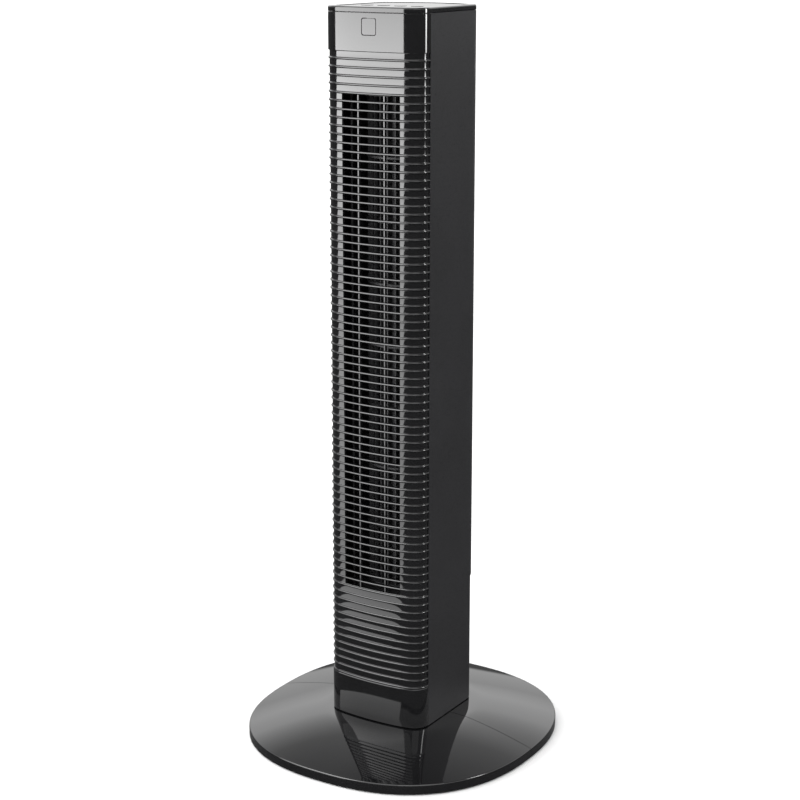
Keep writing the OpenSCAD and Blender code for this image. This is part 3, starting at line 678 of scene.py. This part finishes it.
def make_rear_grille():
    slot_w, pitch, count = 4 * MM, 7 * MM, 11
    centres = [(i - (count - 1) / 2) * pitch for i in range(count)]
    edges = sorted([c - slot_w / 2 for c in centres] + [c + slot_w / 2 for c in centres])
    low = rib_height(OPEN_LAST) + 6 * MM
    high = rib_height(OPEN_FIRST) - 6 * MM
    ends = 2 * MM
    heights = [grille_low.z, low, low + ends, high - ends, high, grille_high.z]

    def keep(x, z):
        return not (low < z < high and any(abs(x - c) < slot_w / 2 for c in centres))

    wall = grid_panel("rear_grille_wall", back_path(edges), heights, keep, SHELL_WALL, 0,
                      "satin_rear", 0.5 * MM)
    screw_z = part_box("rear_screws")[1].z - SCREW_HEAD
    deep = on_back(SCREW_X, 1.2 * MM)
    places = [(-SCREW_X, screw_z), (SCREW_X, screw_z)]
    cut(wall, back_drill(places, SCREW_DIMPLE, deep, PAST_BACK))
    rows = math.ceil((high - low) / (67 * MM))
    rings = []
    for i in range(1, rows):
        z = low + i * (high - low) / rows
        band = [(1.5 * MM, z - 0.9 * MM), (1.5 * MM, z + 0.9 * MM), (1.9 * MM, z + 1.25 * MM),
                (3.5 * MM, z + 1.25 * MM), (3.5 * MM, z - 1.25 * MM), (1.9 * MM, z - 1.25 * MM)]
        path = [p for p in back_path() if abs(p[0].x) < HALF_W - 12 * MM]
        rings.append(sweep("cross_ring", path, band, "satin_rear"))
    grille = join([wall] + rings, "rear_grille_moulding")
    stand_for(grille, "rear_grille", "tower")


def make_lower_cover():
    inset = 0.9 * MM
    vents = [i * 6 * MM for i in range(-4, 5) if i]
    vent_half = 1.5 * MM
    rows = [TOWER_FOOT + 58 * MM, TOWER_FOOT + 92 * MM]
    tall = 24 * MM
    edges = sorted([v - vent_half for v in vents] + [v + vent_half for v in vents])
    heights = [cover_low.z] + [z for r in rows for z in (r, r + tall)] + [cover_high.z]

    def keep(x, z):
        in_row = any(r < z < r + tall for r in rows)
        return not (in_row and any(abs(x - v) < vent_half for v in vents))

    wall = grid_panel("rear_lower_wall", back_path(edges), heights, keep, SHELL_WALL, inset,
                      "satin_rear", 0.4 * MM)
    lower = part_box("rear_screws")[0].z + SCREW_HEAD
    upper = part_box("motor_deck")[0].z + SCREW_RISE
    places = [(x, z) for x in (-SCREW_X, SCREW_X) for z in (lower, upper)]
    deep = on_back(SCREW_X, inset + 1.2 * MM)
    cut(wall, back_drill(places, SCREW_DIMPLE, deep, PAST_BACK))
    inlet_low, inlet_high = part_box("cord_inlet")
    inlet = [(0, (inlet_low.z + inlet_high.z) / 2)]
    cut(wall, back_drill(inlet, 6 * MM, HALF_D - 12 * MM, PAST_BACK))
    stand_for(wall, "rear_lower_cover", "tower")


# ---------------------------------------------------------------- base


def base_reach(turn):
    """Distance from the middle to the rim, in the direction turn."""
    across = abs(math.cos(turn) / dome_high.x) ** BASE_POWER
    along = abs(math.sin(turn) / dome_back) ** BASE_POWER
    return (across + along) ** (-1 / BASE_POWER)


def base_section(turn):
    """The base's wall in one direction, as (distance from the middle, height)."""
    reach = base_reach(turn)
    hole = seat_high.x + 0.5 * MM
    floor = dome_low.z

    def top(r):
        dome = BASE_RIM + BASE_CROWN * (1 - (r / reach) ** 2)
        return (dome + LAND) / 2 - math.hypot((dome - LAND) / 2, LAND_BLEND / 2)

    steps = 26
    shoulder = reach - BASE_EDGE
    outer = [hole + (shoulder - hole) * i / steps for i in range(steps + 1)]
    section = [(r, top(r)) for r in outer]
    crown = top(shoulder) - BASE_EDGE
    for i in range(1, 7):
        t = math.radians(RIM_START + (90 - RIM_START) * i / 6)
        section.append((shoulder + BASE_EDGE * math.sin(t), crown + BASE_EDGE * math.cos(t)))
    inner = reach - BASE_WALL
    section += [(reach, floor + BASE_LIP), (reach - BASE_LIP, floor), (inner, floor)]
    section += [(inner, top(reach) - BASE_WALL)]
    section += [(r, top(r) - BASE_WALL) for r in (reach * 0.9, reach * 0.75, reach * 0.6)]
    section.append((hole, top(hole) - BASE_WALL))
    return section


def make_base_half(name, node, start):
    """Half of the base, from the angle start through a half turn, with the seam kept open."""
    side = -1 if start else 1
    steps = 120
    bm = bmesh.new()
    rings = []
    for i in range(steps + 1):
        turn = start + math.pi * i / steps
        ring = []
        for r, z in base_section(turn):
            y = r * math.sin(turn)
            y = side * max(side * y, BASE_SEAM / 2)
            ring.append(bm.verts.new((r * math.cos(turn), y, z)))
        rings.append(ring)
    skin(bm, rings)
    half = mesh_object(name, bm, "gloss_black")
    stand_for(half, node, "base")


# ---------------------------------------------------------------- studio


def set_ramp(ramp, levels):
    """Gives a colour ramp grey points at (position, level)."""
    ramp.elements.remove(ramp.elements[1])
    for position, level in levels:
        point = ramp.elements.new(position)
        point.color = (level, level, level, 1)
    ramp.elements.remove(ramp.elements[0])


def stage_panel(name, centre, toward, width, height, strength, levels, round_off=0.12):
    """A soft light panel: a rounded sheet that glows, seen only in reflections.

    levels are (part of the height, part of the strength), and round_off is its corners' radius as
    a part of the shorter side.
    """
    bm = bmesh.new()
    corner = min(width, height) * round_off
    outline = []
    for sx, sz, turn in ((1, 1, 0), (-1, 1, 90), (-1, -1, 180), (1, -1, 270)):
        for i in range(7):
            t = math.radians(turn + 15 * i)
            outline.append((sx * (width / 2 - corner) + corner * math.cos(t),
                            sz * (height / 2 - corner) + corner * math.sin(t)))
    bm.faces.new([bm.verts.new((x, z, 0)) for x, z in outline])
    material = bpy.data.materials.new(name)
    material.use_nodes = True
    tree = material.node_tree
    tree.nodes.clear()
    glow = tree.nodes.new("ShaderNodeEmission")
    place = tree.nodes.new("ShaderNodeTexCoord")
    split = tree.nodes.new("ShaderNodeSeparateXYZ")
    fade = tree.nodes.new("ShaderNodeValToRGB")
    set_ramp(fade.color_ramp, levels)
    out = tree.nodes.new("ShaderNodeOutputMaterial")
    tree.links.new(place.outputs["Generated"], split.inputs["Vector"])
    tree.links.new(split.outputs["Y"], fade.inputs["Fac"])
    tree.links.new(fade.outputs["Color"], glow.inputs["Color"])
    glow.inputs["Strength"].default_value = strength
    tree.links.new(glow.outputs["Emission"], out.inputs["Surface"])
    panel = plain_object(name, bm, material)
    panel.location = centre
    panel.rotation_mode = "QUATERNION"
    panel.rotation_quaternion = (Vector(toward) - Vector(centre)).to_track_quat("Z", "Y")
    panel.visible_camera = False
    panel.visible_diffuse = False
    panel.visible_shadow = False


def make_world():
    """White where the camera looks, and for other rays grey with a bright band above the horizon."""
    world = bpy.data.worlds.new("studio")
    bpy.context.scene.world = world
    world.use_nodes = True
    tree = world.node_tree
    tree.nodes.clear()
    place = tree.nodes.new("ShaderNodeTexCoord")
    split = tree.nodes.new("ShaderNodeSeparateXYZ")
    tree.links.new(place.outputs["Generated"], split.inputs["Vector"])
    ramp_node = tree.nodes.new("ShaderNodeValToRGB")
    rise = node_of(tree, "ShaderNodeMapRange", From_Min=-1.0, From_Max=1.0)
    tree.links.new(split.outputs["Z"], rise.inputs["Value"])
    by_elevation = ((-12, 0.06), (-1, 0.06), (1, 0.38), (12, 0.5), (20, 0.85), (28, 0.9),
                    (40, 0.35), (60, 0.15))
    set_ramp(ramp_node.color_ramp, [((math.sin(math.radians(degrees)) + 1) / 2, level)
                                    for degrees, level in by_elevation])
    studio = node_of(tree, "ShaderNodeBackground", Strength=2.4)
    tree.links.new(rise.outputs["Result"], ramp_node.inputs["Fac"])
    tree.links.new(ramp_node.outputs["Color"], studio.inputs["Color"])
    plain = node_of(tree, "ShaderNodeBackground", Color=(1, 1, 1, 1), Strength=1.0)
    path = tree.nodes.new("ShaderNodeLightPath")
    mix = tree.nodes.new("ShaderNodeMixShader")
    out = tree.nodes.new("ShaderNodeOutputWorld")
    tree.links.new(path.outputs["Is Camera Ray"], mix.inputs[0])
    tree.links.new(studio.outputs["Background"], mix.inputs[1])
    tree.links.new(plain.outputs["Background"], mix.inputs[2])
    tree.links.new(mix.outputs["Shader"], out.inputs["Surface"])


def at_azimuth(azimuth, distance, height):
    """A place round the fan: azimuth 0 is in front and 90 is on its right, +X."""
    a = math.radians(azimuth)
    return math.sin(a) * distance, -math.cos(a) * distance, height


def make_studio():
    make_world()
    bm = bmesh.new()
    bmesh.ops.create_grid(bm, x_segments=8, y_segments=8, size=30)
    pale = finish("floor_finish", (0.83, 0.83, 0.83), 0.9, spread=0.01, patch=2, grain=300)
    floor = plain_object("floor", bm, pale)
    floor.visible_glossy = False
    sun = bpy.data.lights.new("overhead", "SUN")
    sun.energy = 2.2
    sun.angle = math.radians(70)
    lamp = bpy.data.objects.new("overhead", sun)
    bpy.context.scene.collection.objects.link(lamp)
    lamp.rotation_euler = (math.radians(18), math.radians(-14), 0)
    stage_panel("front_panel_light", at_azimuth(-31, 0.72, 0.5), (0, 0, 0.5),
                width=0.5, height=1.26, strength=12.0, round_off=0.2,
                levels=((0.0, 0.22), (0.36, 0.45), (0.65, 1.0), (0.71, 0.78)))
    stage_panel("corner_strip_light", at_azimuth(102, 1.2, 0.95), (0, 0, 0.95),
                width=0.19, height=0.95, strength=28.0,
                levels=((0.0, 0.0), (0.12, 0.12), (0.3, 1.0)))
    stage_panel("right_fill_light", at_azimuth(45, 1.9, 1.55), (0, 0, 0.42),
                width=1.6, height=0.9, strength=3.6, levels=((0.0, 1.0), (1.0, 1.0)))


# ---------------------------------------------------------------- build

dress_frame()
make_studio()
make_front_panel()
make_window()
make_top_cap()
make_control_panel()
for key in KEYS:
    make_button(key)
make_rear_grille()
make_lower_cover()
make_base_half("base_front_shell", "base_front", math.pi)
make_base_half("base_rear_shell", "base_rear", 0)
for shell in ("left_side_shell", "right_side_shell"):
    add_bevel(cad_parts[shell], 0.4 * MM)
